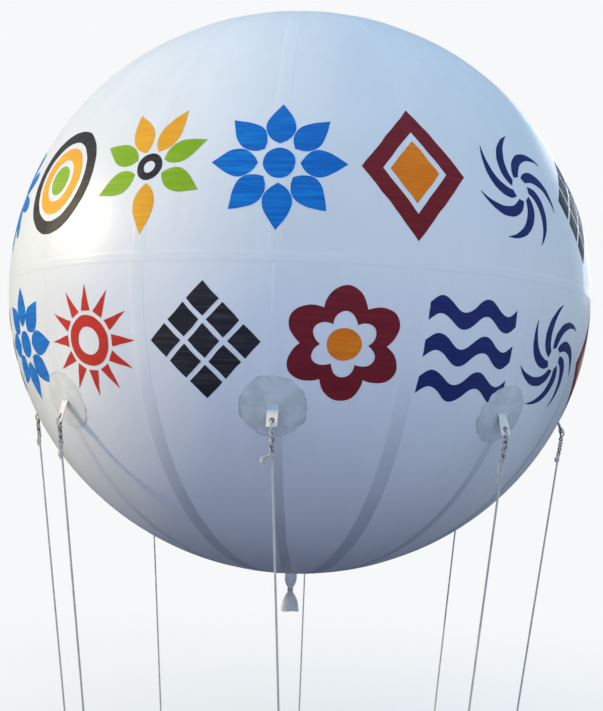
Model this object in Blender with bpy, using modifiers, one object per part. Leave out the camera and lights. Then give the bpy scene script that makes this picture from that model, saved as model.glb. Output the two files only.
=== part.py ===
"""Helium advertising balloon: a welded film envelope of gores, with eight lugs and their mooring lines.

Metres, +Z up. The origin is the centre of the envelope, and one lug faces -Y.
Longitudes run from -Y towards +X. A latitude is the angle t of the envelope's meridian,
which is the half ellipse (EQUATOR_RADIUS * cos t, POLE_RADIUS * sin t).
"""

import math

import bmesh
import bpy
from mathutils import Matrix, Vector

# Driving dimensions of the envelope
EQUATOR_RADIUS = 1.524
POLE_RADIUS = 0.965 * EQUATOR_RADIUS
SHELL = 0.010
GORE_COUNT = 16
GORE_COLUMNS = 4
GORE_ROWS = 10
TIP_RADIUS = 0.150
JOINT_GAP = 0.0003

# Polar caps and the tape round the equator, lapped over the gores
CAP_RADIUS = 0.200
CAP_LIFT = 0.0005
CAP_THICKNESS = 0.003
CAP_STEPS = 32
BAND_HEIGHT = 0.048
BAND_THICKNESS = 0.002
BAND_LIFT = 0.0004

# Lugs: a round patch, a strap that stands off it, and the strap's eyelet hole
LUG_COUNT = 8
LUG_LATITUDE = math.radians(-24.4)
LUG_ROW = 3
PATCH_RADIUS = 0.146
PATCH_THICKNESS = 0.003
PATCH_SIDES = 32
STRAP_WIDTH = 0.050
STRAP_THICKNESS = 0.004
STRAP_FOOT = 0.027
STRAP_RISE = 0.012
STRAP_LENGTH = 0.078
STRAP_SPLAY = math.radians(23)
EYELET_RADIUS = 0.009
EYELET_FROM_END = 0.028

# Mooring lines: a bight through the eyelet, a hitch, the standing line and a hand loop
ROPE_RADIUS = 0.005
LINE_LEAN = math.radians(7.9)
LINE_1_DRIFT = math.radians(2.6)
LINE_FOOT_Z = -2.800
BIGHT_RADIUS = 0.0082
HITCH_DROP = 0.016
HITCH_LENGTH = 0.090
HITCH_TURNS = 4
HITCH_RADIUS = 0.0100
HITCH_GROOVE = 0.0075
TAIL_LENGTH = 0.043
TAIL_WAY = (-0.78, -0.12, -0.62)
STOPPER_RADIUS = 0.012
LOOP_KNOT_LENGTH = 0.036
LOOP_KNOT_RADIUS = 0.0175
LOOP_KNOT_TURNS = 3
LOOP_HEIGHT = 0.150
LOOP_WIDTH = 0.095
LOOP_POINTS = 11
END_LENGTH = 0.060

# Filling neck under the bottom cap, tied off with cord
NECK_FLANGE_RADIUS = 0.070
NECK_RADIUS = 0.030
NECK_WALL = 0.003
NECK_STRAIGHT = 0.040
NECK_WAIST_RADIUS = 0.011
NECK_WAIST_TOP = 0.088
NECK_WAIST_BOTTOM = 0.112
NECK_TAIL_BOTTOM = 0.215
NECK_TAIL_HALF_WIDTH = 0.045
NECK_TAIL_HALF_THICKNESS = 0.004
NECK_STEPS = 16
TIE_CORD_RADIUS = 0.0025
TIE_TURNS = 3
TIE_END_LENGTH = 0.040

# Looks: base colour, roughness, metallic
WHITE_FILM = ("white_film", (0.83, 0.86, 0.90), 0.25, 0.0)
PATCH_FILM = ("patch_film", (0.86, 0.87, 0.88), 0.35, 0.0)
ROPE_FIBRE = ("rope_fibre", (0.72, 0.67, 0.58), 0.85, 0.0)
TIE_FIBRE = ("tie_fibre", (0.78, 0.76, 0.70), 0.85, 0.0)

GORE_ANGLE = 2 * math.pi / GORE_COUNT
EYELET_FROM_ROOT = STRAP_LENGTH - EYELET_FROM_END


def fresh_collection(name):
    """A new collection in the scene, for the parts or for the cutters."""
    collection = bpy.data.collections.new(name)
    bpy.context.scene.collection.children.link(collection)
    return collection


def make_material(look):
    """A Principled material from a (name, colour, roughness, metallic) look."""
    name, colour, roughness, metallic = look
    material = bpy.data.materials.new(name)
    material.use_nodes = True
    shader = material.node_tree.nodes["Principled BSDF"]
    shader.inputs["Base Color"].default_value = (*colour, 1.0)
    shader.inputs["Roughness"].default_value = roughness
    shader.inputs["Metallic"].default_value = metallic
    material.diffuse_color = (*colour, 1.0)
    return material


def on_envelope(latitude, longitude, lift=0.0):
    """The point that stands lift metres outside the envelope at this latitude and longitude."""
    across = POLE_RADIUS * math.cos(latitude)
    along = EQUATOR_RADIUS * math.sin(latitude)
    length = math.hypot(across, along)
    radius = EQUATOR_RADIUS * math.cos(latitude) + lift * across / length
    height = POLE_RADIUS * math.sin(latitude) + lift * along / length
    return Vector((radius * math.sin(longitude), -radius * math.cos(longitude), height))


def mesh_from(bm, name):
    """The finished mesh of a bmesh, with its normals outwards and its round faces smooth."""
    bmesh.ops.recalc_face_normals(bm, faces=bm.faces[:])
    mesh = bpy.data.meshes.new(name)
    bm.to_mesh(mesh)
    bm.free()
    mesh.shade_smooth()
    mesh.set_sharp_from_angle(angle=math.radians(35))
    return mesh


def add_object(name, mesh, collection, material=None, turn=0.0):
    """An object that shows the mesh, turned about the balloon's upright axis."""
    obj = bpy.data.objects.new(name, mesh)
    obj.rotation_euler.z = turn
    collection.objects.link(obj)
    if material and not mesh.materials:
        mesh.materials.append(material)
    return obj


def add_copies(stem, mesh, count, material):
    """One object for each copy of a piece that repeats round the balloon."""
    digits = 2 if count > 9 else 1
    for number in range(count):
        name = f"{stem}_{number + 1:0{digits}d}"
        add_object(name, mesh, parts, material, number * 2 * math.pi / count)


def evaluated_mesh(obj, name):
    """The object's mesh in world space, with its modifiers applied. The object is removed."""
    bpy.context.view_layer.update()
    graph = bpy.context.evaluated_depsgraph_get()
    mesh = bpy.data.meshes.new_from_object(obj.evaluated_get(graph))
    mesh.transform(obj.matrix_world)
    mesh.name = name
    bpy.data.objects.remove(obj)
    return mesh


def welded(mesh):
    """The same mesh in triangles, with coincident points made one, ready for a Boolean."""
    bm = bmesh.new()
    bm.from_mesh(mesh)
    bmesh.ops.remove_doubles(bm, verts=bm.verts[:], dist=1e-6)
    bmesh.ops.triangulate(bm, faces=bm.faces[:])
    return mesh_from(bm, mesh.name)


def boolean(obj, other, operation):
    """Applies one exact Boolean to obj's mesh and removes the other object."""
    modifier = obj.modifiers.new(operation.lower(), "BOOLEAN")
    modifier.operation = operation
    modifier.object = other
    name = obj.name
    mesh = evaluated_mesh(obj, name)
    bpy.data.objects.remove(other)
    return add_object(name, mesh, cutters)


def joined(name, meshes):
    """One closed mesh, the union of several that overlap."""
    whole = add_object(name, meshes[0], cutters)
    for mesh in meshes[1:]:
        whole = boolean(whole, add_object(mesh.name, mesh, cutters), "UNION")
    return evaluated_mesh(whole, name)


def shell_block(name, longitudes, latitudes, inner_lift, outer_lift, edge_gap=0.0):
    """A closed piece of shell over a grid of longitudes and latitudes.

    edge_gap is left free along the first and the last meridian."""
    columns, rows = len(longitudes) - 1, len(latitudes) - 1
    bm = bmesh.new()
    bmesh.ops.create_grid(bm, x_segments=columns, y_segments=rows, size=0.5)
    place = {v: (round((v.co.x + 0.5) * columns), round((v.co.y + 0.5) * rows)) for v in bm.verts}
    grown = bmesh.ops.extrude_face_region(bm, geom=bm.faces[:], use_keep_orig=True)
    outer = [v for v in grown["geom"] if isinstance(v, bmesh.types.BMVert)]
    outer_place = {v: (round((v.co.x + 0.5) * columns), round((v.co.y + 0.5) * rows)) for v in outer}
    for places, lift in ((place, inner_lift), (outer_place, outer_lift)):
        for vertex, (column, row) in places.items():
            latitude = latitudes[row]
            side = (column == 0) - (column == columns)
            drift = side * edge_gap / (EQUATOR_RADIUS * math.cos(latitude))
            vertex.co = on_envelope(latitude, longitudes[column] + drift, lift)
    return mesh_from(bm, name)


def turned(name, profile, steps):
    """The solid or surface of revolution of an (x, z) profile that runs down its outer side."""
    bm = bmesh.new()
    points = [bm.verts.new((x, 0.0, z)) for x, z in profile]
    for first, second in zip(points, points[1:]):
        bm.edges.new((first, second))
    mesh = bpy.data.meshes.new(name)
    bm.to_mesh(mesh)
    bm.free()
    obj = add_object(name, mesh, cutters)
    screw = obj.modifiers.new("turn", "SCREW")
    screw.axis = "Z"
    screw.angle = 2 * math.pi
    screw.steps = steps
    screw.render_steps = steps
    screw.use_merge_vertices = True
    screw.merge_threshold = 1e-6
    return obj


def tube(name, points, radius=ROPE_RADIUS):
    """A rope or cord of this radius along the points, with closed ends."""
    curve = bpy.data.curves.new(name, "CURVE")
    curve.dimensions = "3D"
    curve.bevel_depth = radius
    curve.bevel_resolution = 2
    curve.use_fill_caps = True
    spline = curve.splines.new("POLY")
    spline.points.add(len(points) - 1)
    for point, place in zip(spline.points, points):
        point.co = (*place, 1.0)
    return welded(evaluated_mesh(add_object(name, curve, cutters), name))


def upright_to(direction):
    """The rotation that turns -Z to point along the direction."""
    return Vector((0, 0, -1)).rotation_difference(direction).to_matrix().to_4x4()


def spindle(name, top, direction, length, ridge, groove, turns):
    """A lashing of round turns: a turned bar with one ridge for each turn of the rope."""
    profile = [(0.0, 0.0), (groove * 0.75, 0.0)]
    for turn in range(turns):
        profile.append((ridge, -length * (turn + 0.5) / turns))
        profile.append((groove, -length * (turn + 1) / turns))
    profile.append((0.0, -length))
    mesh = welded(evaluated_mesh(turned(name, profile, 8), name))
    mesh.transform(Matrix.Translation(top) @ upright_to(direction) @ Matrix.Rotation(0.2, 4, "Z"))
    return mesh


def ball(name, centre, radius):
    """A stopper knot's outer shape."""
    bm = bmesh.new()
    bmesh.ops.create_uvsphere(bm, u_segments=8, v_segments=4, radius=radius)
    bmesh.ops.translate(bm, verts=bm.verts[:], vec=centre)
    return mesh_from(bm, name)


def rod(name, centre, axis, radius, length, sides):
    """A round bar centred on a point, used to cut round outlines and holes."""
    bm = bmesh.new()
    place = Matrix.Translation(centre) @ upright_to(axis)
    bmesh.ops.create_cone(
        bm, cap_ends=True, segments=sides, radius1=radius, radius2=radius, depth=length, matrix=place
    )
    return mesh_from(bm, name)


def row_latitudes():
    """The latitudes of a gore's rows of facets, from the equator to the pole."""
    first = math.asin(JOINT_GAP / 2 / POLE_RADIUS)
    last = math.acos(TIP_RADIUS / EQUATOR_RADIUS)
    return [first + (last - first) * row / GORE_ROWS for row in range(GORE_ROWS + 1)]


def build_gores():
    """Sixteen upper and sixteen lower gores, which butt along the seams and at the equator."""
    rows = row_latitudes()
    columns = [GORE_ANGLE * column / GORE_COLUMNS for column in range(GORE_COLUMNS + 1)]
    for stem, side in (("upper_gore", 1), ("lower_gore", -1)):
        latitudes = [side * row for row in rows]
        mesh = shell_block(stem, columns, latitudes, -SHELL, 0.0, JOINT_GAP / 2)
        add_copies(stem, mesh, GORE_COUNT, film)


def cap_profile(hole_radius, side):
    """The meridian of a polar cap's inner face, as (radius, height), from its hole to its rim."""
    points = []
    for radius in (hole_radius, 0.5 * TIP_RADIUS, TIP_RADIUS, CAP_RADIUS):
        latitude = side * math.acos(radius / EQUATOR_RADIUS)
        place = on_envelope(latitude, math.pi / 2, CAP_LIFT)
        points.append((place.x if radius else 0.0, place.z))
    return points


def build_caps():
    """The two discs that close the envelope over the gores' tips. The neck passes the lower one."""
    for name, side, hole_radius in (("top_cap", 1, 0.0), ("bottom_cap", -1, NECK_RADIUS + 0.002)):
        inner = cap_profile(hole_radius, side)
        outer = [(radius, height + side * CAP_THICKNESS) for radius, height in inner]
        top_face, bottom_face = (outer, inner) if side > 0 else (inner, outer)
        profile = top_face + bottom_face[::-1]
        if hole_radius:
            profile.append(profile[0])
        mesh = welded(evaluated_mesh(turned(name, profile, CAP_STEPS), name))
        add_object(name, mesh, parts, film)


def build_equator_band():
    """The tape welded over the joint between the upper and the lower gores."""
    inner = EQUATOR_RADIUS + BAND_LIFT
    outer = inner + BAND_THICKNESS
    half = BAND_HEIGHT / 2
    profile = [(inner, half), (outer, half), (outer, -half), (inner, -half), (inner, half)]
    steps = GORE_COUNT * GORE_COLUMNS
    mesh = welded(evaluated_mesh(turned("equator_band", profile, steps), "equator_band"))
    add_object("equator_band", mesh, parts, film)


def strap_frame():
    """Where the strap leaves the patch, its way up the patch, its way down and its front's way."""
    rows = row_latitudes()
    lift = JOINT_GAP + PATCH_THICKNESS
    below = on_envelope(-rows[LUG_ROW], 0.0, lift)
    upwards = (on_envelope(-rows[LUG_ROW - 1], 0.0, lift) - below).normalized()
    root = below + STRAP_RISE * upwards
    hang = Vector((0.0, -math.sin(STRAP_SPLAY), -math.cos(STRAP_SPLAY)))
    face = Vector((0.0, -math.cos(STRAP_SPLAY), math.sin(STRAP_SPLAY)))
    return root, upwards, hang, face


def build_lugs():
    """Eight round patches on every second seam, each with a strap that hangs off its centre."""
    latitudes = [-row for row in row_latitudes()[LUG_ROW - 2 : LUG_ROW + 3]]
    columns = [GORE_ANGLE / GORE_COLUMNS * column for column in range(-2, 3)]
    zone = shell_block("zone", columns, latitudes, JOINT_GAP, JOINT_GAP + PATCH_THICKNESS)
    centre = on_envelope(LUG_LATITUDE, 0.0)
    outward = (on_envelope(LUG_LATITUDE, 0.0, 1.0) - centre).normalized()
    outline = rod("outline", centre, outward, PATCH_RADIUS, 0.2, PATCH_SIDES)
    patch = boolean(
        add_object("patch", zone, cutters), add_object("outline", outline, cutters), "INTERSECT"
    )

    # The strap's centre line: its welded foot lies on the patch, and its free part hangs clear.
    root, upwards, hang, face = strap_frame()
    standoff = 0.1 * STRAP_THICKNESS * outward
    line = [
        root + upwards * STRAP_FOOT + standoff,
        root + upwards * 0.002 + standoff,
        root + hang * 0.010,
        root + hang * STRAP_LENGTH,
    ]
    bm = bmesh.new()
    half = STRAP_WIDTH / 2
    pairs = [[bm.verts.new(p + Vector((x, 0, 0))) for x in (-half, half)] for p in line]
    for (a, b), (c, d) in zip(pairs, pairs[1:]):
        bm.faces.new((a, b, d, c))
    strap = add_object("strap", mesh_from(bm, "strap"), cutters)
    thicken = strap.modifiers.new("thickness", "SOLIDIFY")
    thicken.thickness = STRAP_THICKNESS
    thicken.offset = 0.0
    thicken.use_even_offset = True
    lug = boolean(patch, strap, "UNION")
    hole = rod("hole", root + hang * EYELET_FROM_ROOT, face, EYELET_RADIUS, 0.02, 16)
    lug = boolean(lug, add_object("hole", hole, cutters), "DIFFERENCE")
    mesh = welded(evaluated_mesh(lug, "lug"))
    add_copies("lug", mesh, LUG_COUNT, patch_film)


def line_mesh(drift):
    """A mooring line tied to lug 1, ending in a hand loop. drift is how far it is pulled to the side."""
    root, _, hang, face = strap_frame()
    pull = Vector((math.tan(drift), math.sin(LINE_LEAN), -math.cos(LINE_LEAN))).normalized()
    side = Vector((1.0, 0.0, 0.0))
    strap_end = root + hang * STRAP_LENGTH
    eyelet = root + hang * EYELET_FROM_ROOT
    turn_centre = eyelet + hang * (EYELET_RADIUS + STRAP_THICKNESS / 2)
    hitch_top = strap_end + pull * HITCH_DROP

    apart = (ROPE_RADIUS + 0.0003) * Vector((0.0, -math.cos(LINE_LEAN), -math.sin(LINE_LEAN)))
    bight = [
        hitch_top + pull * 0.010 - apart,
        hitch_top - apart,
        strap_end - face * BIGHT_RADIUS + hang * 0.004,
    ]
    for step in range(7):
        angle = math.pi * step / 6
        spoke = -math.cos(angle) * face - math.sin(angle) * hang
        bight.append(turn_centre + BIGHT_RADIUS * spoke)
    bight += [
        strap_end + face * BIGHT_RADIUS + hang * 0.004,
        hitch_top + apart,
        hitch_top + pull * 0.010 + apart,
    ]

    hitch_end = hitch_top + pull * HITCH_LENGTH
    knot_drop = hitch_end.z - (LINE_FOOT_Z + ROPE_RADIUS + LOOP_HEIGHT + LOOP_KNOT_LENGTH)
    knot_top = hitch_end + pull * (knot_drop / -pull.z)
    tail_way = Vector(TAIL_WAY).normalized()
    tail_root = hitch_end - pull * 0.012 + Vector((0.0012, -0.0015, 0.0))
    tail_end = tail_root + tail_way * TAIL_LENGTH

    down = Vector((0.0, 0.0, -1.0))
    loop_top = knot_top + down * (LOOP_KNOT_LENGTH - 0.006)
    loop = []
    for step in range(LOOP_POINTS):
        angle = 2 * math.pi * step / (LOOP_POINTS - 1)
        across = 0.65 * LOOP_WIDTH * math.sin(angle) * math.sin(angle / 2)
        across += 1.2 * ROPE_RADIUS * math.cos(angle / 2)
        drop = (LOOP_HEIGHT + 0.006) * (1 - math.cos(angle)) / 2
        loop.append(loop_top + side * across + down * drop)
    end_root = knot_top + down * 0.025 + Vector((0.0, -0.0085, 0.0))
    end_knee = end_root + down * 0.022 + Vector((0.0, -0.0070, 0.0))

    meshes = [
        spindle("hitch", hitch_top, pull, HITCH_LENGTH, HITCH_RADIUS, HITCH_GROOVE, HITCH_TURNS),
        tube("bight", bight),
        tube("standing", [hitch_end - pull * 0.02, knot_top + pull * 0.01]),
        tube("tail", [tail_root, tail_end]),
        ball("stopper", tail_end + tail_way * 0.004, STOPPER_RADIUS),
        spindle("loop_knot", knot_top, down, LOOP_KNOT_LENGTH, LOOP_KNOT_RADIUS, 0.0135, LOOP_KNOT_TURNS),
        tube("loop", loop),
        tube("loose_end", [end_root, end_knee, end_knee + down * END_LENGTH]),
    ]
    return welded(joined("line", meshes))


def build_lines():
    """Eight mooring lines, one to a lug. The first is pulled a little to its side."""
    add_object("line_1", line_mesh(LINE_1_DRIFT), parts, rope)
    mesh = line_mesh(0.0)
    for number in range(1, LUG_COUNT):
        add_object(f"line_{number + 1}", mesh, parts, rope, number * 2 * math.pi / LUG_COUNT)


def neck_tail(name, top):
    """The neck's free end, gathered round at the tie and fanned out flat below it."""
    bm = bmesh.new()
    sides = 16
    # Each ring: drop below the cap, half width, half thickness
    rings = (
        (NECK_WAIST_BOTTOM - 0.001, NECK_WAIST_RADIUS * 0.9, NECK_WAIST_RADIUS * 0.9),
        (NECK_WAIST_BOTTOM + 0.020, NECK_WAIST_RADIUS * 1.9, NECK_WAIST_RADIUS * 0.8),
        (NECK_WAIST_BOTTOM + 0.055, NECK_TAIL_HALF_WIDTH * 0.85, NECK_TAIL_HALF_THICKNESS * 1.4),
        (NECK_TAIL_BOTTOM, NECK_TAIL_HALF_WIDTH, NECK_TAIL_HALF_THICKNESS),
    )
    angles = [2 * math.pi * step / sides for step in range(sides)]
    loops = []
    for drop, half_width, half_thickness in rings:
        outline = [(half_width * math.cos(a), half_thickness * math.sin(a)) for a in angles]
        loops.append([bm.verts.new((x, y, top - drop)) for x, y in outline])
    for upper, lower in zip(loops, loops[1:]):
        for step in range(sides):
            following = (step + 1) % sides
            bm.faces.new((upper[step], upper[following], lower[following], lower[step]))
    bm.faces.new(loops[0])
    bm.faces.new(loops[-1])
    return mesh_from(bm, name)


def build_neck():
    """The filling neck that hangs from the bottom cap, and the cord that ties it off."""
    rim = cap_profile(NECK_FLANGE_RADIUS, -1)[0][1]
    top = rim - CAP_THICKNESS - JOINT_GAP - 0.0012
    bore = NECK_RADIUS - NECK_WALL
    profile = [
        (0.0, top - NECK_WAIST_TOP + 0.012),
        (bore * 0.35, top - NECK_WAIST_TOP + 0.016),
        (bore, top - NECK_STRAIGHT),
        (bore, top),
        (NECK_FLANGE_RADIUS, top),
        (NECK_FLANGE_RADIUS, top - NECK_WALL),
        (NECK_RADIUS + 0.004, top - NECK_WALL),
        (NECK_RADIUS, top - 2 * NECK_WALL),
        (NECK_RADIUS, top - NECK_STRAIGHT),
        (NECK_WAIST_RADIUS, top - NECK_WAIST_TOP),
        (NECK_WAIST_RADIUS, top - NECK_WAIST_BOTTOM),
        (0.0, top - NECK_WAIST_BOTTOM),
    ]
    sleeve = welded(evaluated_mesh(turned("sleeve", profile, NECK_STEPS), "sleeve"))
    neck = joined("filler_neck", [sleeve, neck_tail("tail", top)])
    add_object("filler_neck", welded(neck), parts, film)

    inner = NECK_WAIST_RADIUS + JOINT_GAP
    height = 2 * TIE_CORD_RADIUS * TIE_TURNS
    tie_top = top - (NECK_WAIST_TOP + NECK_WAIST_BOTTOM) / 2 + height / 2
    ring = [(inner, tie_top)]
    for turn in range(TIE_TURNS):
        ring.append((inner + 2 * TIE_CORD_RADIUS, tie_top - height * (turn + 0.5) / TIE_TURNS))
        ring.append((inner + TIE_CORD_RADIUS, tie_top - height * (turn + 1) / TIE_TURNS))
    ring[-1] = (inner, tie_top - height)
    ring.append(ring[0])
    wraps = welded(evaluated_mesh(turned("wraps", ring, NECK_STEPS), "wraps"))
    knot = Vector((0.0, -inner - 2.2 * TIE_CORD_RADIUS, tie_top - height / 2))
    ends = []
    for way in (-1, 1):
        tip = knot + TIE_END_LENGTH * Vector((0.35 * way, -0.45, -0.8))
        ends.append(tube("tie_end", [knot, tip], TIE_CORD_RADIUS))
    tie = joined("neck_tie", [wraps, ball("tie_knot", knot, 2 * TIE_CORD_RADIUS), *ends])
    add_object("neck_tie", welded(tie), parts, tie_fibre)


for old in list(bpy.data.objects):
    bpy.data.objects.remove(old)
parts = fresh_collection("advertising_balloon")
cutters = fresh_collection("cutters")
film = make_material(WHITE_FILM)
patch_film = make_material(PATCH_FILM)
rope = make_material(ROPE_FIBRE)
tie_fibre = make_material(TIE_FIBRE)

build_gores()
build_caps()
build_equator_band()
build_lugs()
build_lines()
build_neck()
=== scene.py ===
"""Helium advertising balloon: its finished looks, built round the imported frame.

Metres, +Z up. Longitudes run from lug 1, which faces -Y, towards +X. A latitude is the angle t of
the envelope's meridian, (equator_radius * cos t, pole_radius * sin t), as in the CAD source.
"""

import math

import bmesh
import bpy
import numpy as np
from mathutils import Matrix, Vector


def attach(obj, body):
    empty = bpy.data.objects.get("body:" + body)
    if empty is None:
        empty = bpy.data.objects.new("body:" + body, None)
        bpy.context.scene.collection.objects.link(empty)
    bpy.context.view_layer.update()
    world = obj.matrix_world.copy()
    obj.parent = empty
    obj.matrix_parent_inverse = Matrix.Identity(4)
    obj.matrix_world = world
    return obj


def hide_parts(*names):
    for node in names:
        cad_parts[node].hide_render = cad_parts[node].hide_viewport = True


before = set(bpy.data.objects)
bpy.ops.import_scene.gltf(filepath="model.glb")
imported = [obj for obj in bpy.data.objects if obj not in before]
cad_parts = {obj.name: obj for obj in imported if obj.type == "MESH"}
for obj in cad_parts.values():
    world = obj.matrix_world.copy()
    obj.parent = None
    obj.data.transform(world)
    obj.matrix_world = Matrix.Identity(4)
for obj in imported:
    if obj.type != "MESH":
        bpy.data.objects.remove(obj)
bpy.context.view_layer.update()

# ---------------------------------------------------------------------------- Envelope
# The envelope is glossy white PVC film, cut as sixteen upper and sixteen lower gores and
# heat-welded edge to edge. The gas keeps it taut: it pillows a little between the seams, gathers
# towards the polar caps, and each lug pulls a shallow tent out of it.

equator_radius = 1.524
pole_radius = 0.965 * equator_radius
meridian_radius = 1.49
gore_count = 16
gore_angle = 2 * math.pi / gore_count
tip_latitude = math.acos(0.150 / equator_radius)
film_thickness = 0.0012
pillow_height = 0.0024
pillow_fade_radius = 0.7
bulge_height = 0.0014
billow_height = 0.0009
gather_height = 0.0016
gather_reach = 0.14
cap_radius = 0.200
lug_count = 8
lug_angle = 2 * math.pi / lug_count
lug_latitude = math.radians(-24.4)
tent_height = 0.0030
tent_reach = 0.09
tent_tip = 0.02


def half_turned(angle):
    """The same angle, brought between minus and plus half a turn."""
    return (angle + math.pi) % (2 * math.pi) - math.pi


def film_place(latitude, longitude, lift=0.0):
    """Points of the taut film, lifted outwards by lift metres."""
    latitude, longitude, lift = np.broadcast_arrays(latitude, longitude, lift)
    ring = equator_radius * np.cos(latitude)
    pillow = np.sin(gore_count / 2 * longitude) ** 2
    rise = lift + pillow_height * pillow * np.minimum(1.0, ring / pillow_fade_radius)
    # The whole numbers by the longitude count the waves once round
    rise = rise + bulge_height * np.sin(3 * longitude + 1.3) * np.sin(2.3 * latitude + 0.4)
    rise = rise + billow_height * np.sin(7 * longitude + 4 * latitude) * np.cos(latitude)
    gathers = np.sin(48 * longitude + 2 * np.sin(5 * longitude)) + 0.6 * np.sin(80 * longitude + 1)
    fading = np.exp(-np.maximum(ring - cap_radius, 0.0) / gather_reach)
    rise = rise + gather_height * gathers * fading * np.minimum(1.0, ring / cap_radius)
    for number in range(lug_count):
        away = half_turned(longitude - number * lug_angle)
        distance = np.hypot(away * ring, (latitude - lug_latitude) * meridian_radius)
        rise = rise + tent_height * np.exp(-np.hypot(distance, tent_tip) / tent_reach)
    across = pole_radius * np.cos(latitude)
    along = equator_radius * np.sin(latitude)
    length = np.hypot(across, along)
    radius = ring + rise * across / length
    height = pole_radius * np.sin(latitude) + rise * along / length
    return np.stack([radius * np.sin(longitude), -radius * np.cos(longitude), height], axis=-1)


def skin(grid, uv=None, wrap_rows=False):
    """A closed body over rows by columns of points. Its columns run round, and so may its rows.

    Where the rows don't run round, the first and the last one are closed by strips."""
    rows, columns = grid.shape[:2]
    number = np.arange(rows * columns).reshape(rows, columns)
    corner = np.arange(rows * (columns + 1)).reshape(rows, columns + 1)
    number = np.column_stack([number, number[:, :1]])
    if wrap_rows:
        number = np.vstack([number, number[:1]])
        corner = np.vstack([corner, corner[:1]])
    near = np.arange(columns // 2 - 1)
    far = columns - 1 - near
    tables = []
    for table in (number, corner):
        around = [table[:-1, :-1], table[:-1, 1:], table[1:, 1:], table[1:, :-1]]
        quads = [np.stack(around, axis=-1).reshape(-1, 4)]
        for line, way in () if wrap_rows else ((table[0], 1), (table[-1], -1)):
            strip = np.stack([line[near], line[far], line[far - 1], line[near + 1]], axis=-1)
            quads.append(strip[:, ::way])
        tables.append(np.vstack(quads))
    flat_uv = np.zeros((corner.max() + 1, 2)) if uv is None else uv.reshape(-1, 2)
    return grid.reshape(-1, 3), tables[0], flat_uv[tables[1]].reshape(-1, 2)


def sheet_skin(outer, inner, uv=None, ring=False):
    """A closed sheet between an outer and an inner grid of points. A ring's columns run round."""
    if ring:
        return skin(np.concatenate([outer, inner[::-1]]), wrap_rows=True)
    if uv is not None:
        uv = np.concatenate([uv, uv[:, ::-1], uv[:, :1]], axis=1)
    return skin(np.concatenate([outer, inner[:, ::-1]], axis=1), uv)


def smoothed(mesh, sharp=35):
    """The mesh shaded smooth, but for edges sharper than sharp degrees."""
    mesh.shade_smooth()
    mesh.set_sharp_from_angle(angle=math.radians(sharp))
    return mesh


def mesh_of(name, skins, sharp=35):
    """One smooth mesh of several skins. Each may come as (skin, material number)."""
    mesh = bpy.data.meshes.new(name)
    points, faces, corners, slots, first = [], [], [], [], 0
    for entry in skins:
        (place, quads, uv), slot = entry if len(entry) == 2 else (entry, 0)
        a, b, c, d = (place[quads[:, k]] for k in range(4))
        volume = np.einsum("ij,ij->i", a, np.cross(b, c) + np.cross(c, d)).sum()
        if volume < 0:
            quads = quads[:, ::-1]
            uv = uv.reshape(-1, 4, 2)[:, ::-1].reshape(-1, 2)
        points.append(place)
        faces.append(quads + first)
        corners.append(uv)
        slots += [slot] * len(quads)
        first += len(place)
    mesh.from_pydata(np.concatenate(points), [], np.concatenate(faces).tolist())
    layer = mesh.uv_layers.new(name="UVMap")
    layer.data.foreach_set("uv", np.concatenate(corners).astype(np.float32).ravel())
    mesh.polygons.foreach_set("material_index", slots)
    bm = bmesh.new()
    bm.from_mesh(mesh)
    bmesh.ops.remove_doubles(bm, verts=bm.verts[:], dist=1e-6)
    bm.to_mesh(mesh)
    bm.free()
    return smoothed(mesh, sharp)


def add_piece(name, mesh, materials, stands_for=(), turn=0.0):
    """Puts a finished piece on the balloon's one body."""
    piece = bpy.data.objects.new(name, mesh)
    bpy.context.scene.collection.objects.link(piece)
    piece.rotation_euler.z = turn
    for material in materials:
        mesh.materials.append(material)
    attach(piece, "root")
    if stands_for:
        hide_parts(*stands_for)


class Nodes:
    """Adds nodes to one shader tree. What they take is a number, a colour or a node's socket."""

    def __init__(self, tree):
        self.tree = tree

    def put(self, kind, sockets=None, **settings):
        """A new node. A socket is wired where its value is another node's socket."""
        node = self.tree.nodes.new("ShaderNode" + kind)
        for name, value in settings.items():
            setattr(node, name, value)
        for name, value in (sockets or {}).items():
            if isinstance(value, bpy.types.NodeSocket):
                self.tree.links.new(value, node.inputs[name])
            else:
                node.inputs[name].default_value = value
        return node

    def axes(self, place):
        """The x, y and z of a place or a direction."""
        return self.put("SeparateXYZ", {0: place}).outputs

    def maths(self, operation, first, second=0.0, third=0.0):
        """The result of one Math node."""
        return self.put("Math", {0: first, 1: second, 2: third}, operation=operation).outputs[0]

    def times(self, first, second):
        return self.maths("MULTIPLY", first, second)

    def hypot(self, first, second):
        """The length of a flat vector."""
        squares = self.maths("MULTIPLY_ADD", first, first, self.times(second, second))
        return self.maths("SQRT", squares)

    def noise(self, place, scale, detail=2.0, stretch=(1.0, 1.0, 1.0)):
        """A noise texture's value, drawn out along the axes whose stretch is small."""
        spread = self.put("VectorMath", {0: place, 1: stretch}, operation="MULTIPLY").outputs[0]
        sockets = {"Vector": spread, "Scale": scale, "Detail": detail}
        return self.put("TexNoise", sockets).outputs[0]

    def ramp(self, value, low, high, start=0.0, end=1.0):
        """The value's place between low and high, eased, as a number from start to end."""
        sockets = {"Value": value, "From Min": low, "From Max": high}
        sockets |= {"To Min": start, "To Max": end}
        return self.put("MapRange", sockets, interpolation_type="SMOOTHSTEP").outputs["Result"]

    def mixed(self, share, first, second, blend="MIX"):
        """Two colours mixed by a share."""
        sockets = {0: share, 6: first, 7: second}
        return self.put("Mix", sockets, data_type="RGBA", blend_type=blend).outputs[2]


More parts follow.
